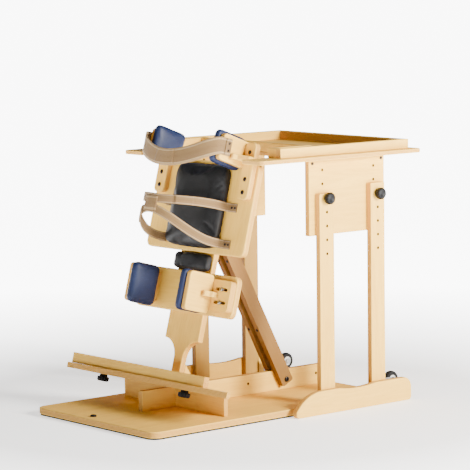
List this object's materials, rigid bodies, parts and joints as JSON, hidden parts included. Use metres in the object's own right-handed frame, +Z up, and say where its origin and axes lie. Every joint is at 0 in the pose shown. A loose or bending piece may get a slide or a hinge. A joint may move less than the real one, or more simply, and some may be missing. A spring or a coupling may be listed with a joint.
{
  "type": "standing frame",
  "caption": "Child's wooden prone stander: padded leaning spine board with chest, knee and foot supports on a propping strut, over a base that also carries a height-adjustable rimmed tray.",
  "frame": {"origin": "on the floor, under the middle of the bounding box", "axes": "+X the way the user faces, +Y to the user's left, +Z up"},
  "size_m": [0.97, 0.716, 0.8077],
  "materials": {
    "birch_wood": "clear satin lacquer",
    "black_vinyl": "smooth padded vinyl",
    "blue_vinyl": "smooth padded vinyl",
    "tan_webbing": "woven webbing",
    "zinc_steel": "zinc plated",
    "black_plastic": "moulded",
    "mat_rubber": "ribbed",
    "wheel_tyre": "smooth",
    "wheel_hub": "moulded"
  },
  "bodies": {
    "base": {"base_board": "birch_wood", "non_slip_mat": "mat_rubber", "centre_rail": "birch_wood", "foot_bearer": "birch_wood", "footplate": "birch_wood", "right_runner": "birch_wood", "left_runner": "birch_wood", "right_rear_leg": "birch_wood", "right_front_leg": "birch_wood", "left_rear_leg": "birch_wood", "left_front_leg": "birch_wood", "wheel_brackets": "zinc_steel", "wheel_axles": "zinc_steel"},
    "spine": {"spine_board": "birch_wood", "pivot_cheeks": "birch_wood", "tilt_pivot_bolt": "zinc_steel", "strut_hinge_block": "birch_wood", "chest_board": "birch_wood", "chest_pad": "black_vinyl", "thigh_pad": "black_vinyl", "knee_board": "birch_wood", "board_bolts": "zinc_steel", "chest_brackets": "birch_wood", "right_chest_plate": "birch_wood", "left_chest_plate": "birch_wood", "chest_gussets": "birch_wood", "right_chest_pad": "blue_vinyl", "left_chest_pad": "blue_vinyl", "chest_bolts": "zinc_steel", "chest_strap": "tan_webbing", "waist_strap": "tan_webbing", "hip_strap": "tan_webbing", "strap_keeper": "tan_webbing", "knee_bolts": "zinc_steel"},
    "strut": {"strut_bars": "birch_wood", "strut_spacer": "birch_wood", "strut_pivot_bolt": "zinc_steel", "strut_foot_bolts": "zinc_steel"},
    "right_knee": {"right_knee_slide_plate": "birch_wood", "right_knee_plate": "birch_wood", "right_knee_gusset": "birch_wood", "right_knee_pad": "blue_vinyl"},
    "left_knee": {"left_knee_slide_plate": "birch_wood", "left_knee_plate": "birch_wood", "left_knee_gusset": "birch_wood", "left_knee_pad": "blue_vinyl"},
    "tray": {"tray_board": "birch_wood", "tray_rims": "birch_wood", "tray_panels": "birch_wood"},
    "heel": {"heel_rail": "birch_wood"},
    "right_wheel": {"right_tyre": "wheel_tyre", "right_hub": "wheel_hub"},
    "left_wheel": {"left_tyre": "wheel_tyre", "left_hub": "wheel_hub"},
    "right_rear_knob": {"right_rear_knob": "black_plastic"},
    "right_front_knob": {"right_front_knob": "black_plastic"},
    "left_rear_knob": {"left_rear_knob": "black_plastic"},
    "left_front_knob": {"left_front_knob": "black_plastic"},
    "right_heel_knob": {"right_heel_knob": "black_plastic"},
    "left_heel_knob": {"left_heel_knob": "black_plastic"}
  },
  "joints": [
    {"name": "spine_tilt", "type": "hinge", "parent": "base", "child": "spine", "pos_m": [-0.15, 0, 0.056], "axis": [0, 1, 0], "range_deg": [-12, 10]},
    {"name": "strut_fold", "type": "hinge", "parent": "spine", "child": "strut", "pos_m": [-0.03987, 0, 0.52032], "axis": [0, 1, 0], "range_deg": [-14.5, 17.5]},
    {"name": "tray_lift", "type": "slide", "parent": "base", "child": "tray", "axis": [0, 0, 1], "range_m": [-0.039, 0.078]},
    {"name": "right_knee_slide", "type": "slide", "parent": "spine", "child": "right_knee", "axis": [0, 1, 0], "range_m": [-0.015, 0.015]},
    {"name": "left_knee_slide", "type": "slide", "parent": "spine", "child": "left_knee", "axis": [0, 1, 0], "range_m": [-0.015, 0.015]},
    {"name": "heel_slide", "type": "slide", "parent": "base", "child": "heel", "axis": [0.9659, 0, -0.2588], "range_m": [-0.012, 0.012]},
    {"name": "right_wheel_spin", "type": "hinge", "parent": "base", "child": "right_wheel", "pos_m": [0.427, -0.23, 0.052], "axis": [0, 1, 0], "continuous": true},
    {"name": "left_wheel_spin", "type": "hinge", "parent": "base", "child": "left_wheel", "pos_m": [0.427, 0.23, 0.052], "axis": [0, 1, 0], "continuous": true},
    {"name": "right_rear_knob_turn", "type": "hinge", "parent": "base", "child": "right_rear_knob", "pos_m": [0.131, -0.2864, 0.606], "axis": [0, 1, 0], "continuous": true},
    {"name": "right_front_knob_turn", "type": "hinge", "parent": "base", "child": "right_front_knob", "pos_m": [0.327, -0.2864, 0.606], "axis": [0, 1, 0], "continuous": true},
    {"name": "left_rear_knob_turn", "type": "hinge", "parent": "base", "child": "left_rear_knob", "pos_m": [0.131, 0.2864, 0.606], "axis": [0, 1, 0], "continuous": true},
    {"name": "left_front_knob_turn", "type": "hinge", "parent": "base", "child": "left_front_knob", "pos_m": [0.327, 0.2864, 0.606], "axis": [0, 1, 0], "continuous": true},
    {"name": "right_heel_knob_turn", "type": "hinge", "parent": "heel", "child": "right_heel_knob", "pos_m": [-0.28292, -0.155, 0.0974], "axis": [0.2588, 0, 0.9659], "continuous": true},
    {"name": "left_heel_knob_turn", "type": "hinge", "parent": "heel", "child": "left_heel_knob", "pos_m": [-0.28292, 0.211, 0.0974], "axis": [0.2588, 0, 0.9659], "continuous": true}
  ],
  "couplings": [
    {"joint": "strut_fold", "follows": "spine_tilt", "ratio": -1.4}
  ]
}
